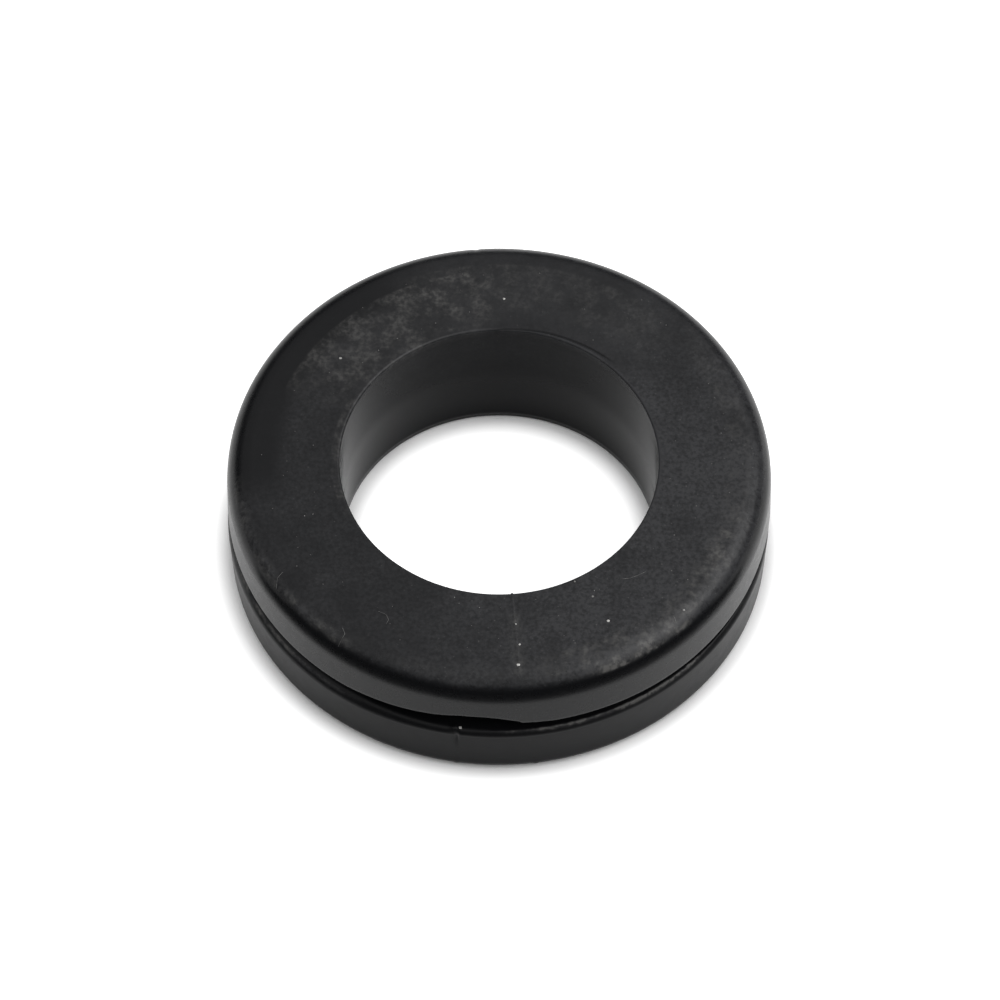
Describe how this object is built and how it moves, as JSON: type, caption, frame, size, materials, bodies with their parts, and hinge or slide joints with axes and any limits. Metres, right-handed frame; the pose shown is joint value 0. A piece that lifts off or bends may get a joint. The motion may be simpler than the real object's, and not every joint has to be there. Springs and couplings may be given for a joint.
{
  "type": "rubber grommet",
  "caption": "Round rubber grommet with a plain bore for cables and a narrow groove, between thick flanges, that grips the edge of a panel hole.",
  "frame": {"origin": "on the bore's axis, in the plane of the foot that the grommet stands on", "axes": "+Z along the bore, from the lower flange, whose wall narrows towards the foot, to the upper flange with the rounded crown"},
  "size_m": [0.0428, 0.0428, 0.012],
  "materials": {
    "black_rubber": "moulded, semi-matt, lightly dusty"
  },
  "bodies": {
    "root": {"grommet": "black_rubber"}
  },
  "joints": []
}
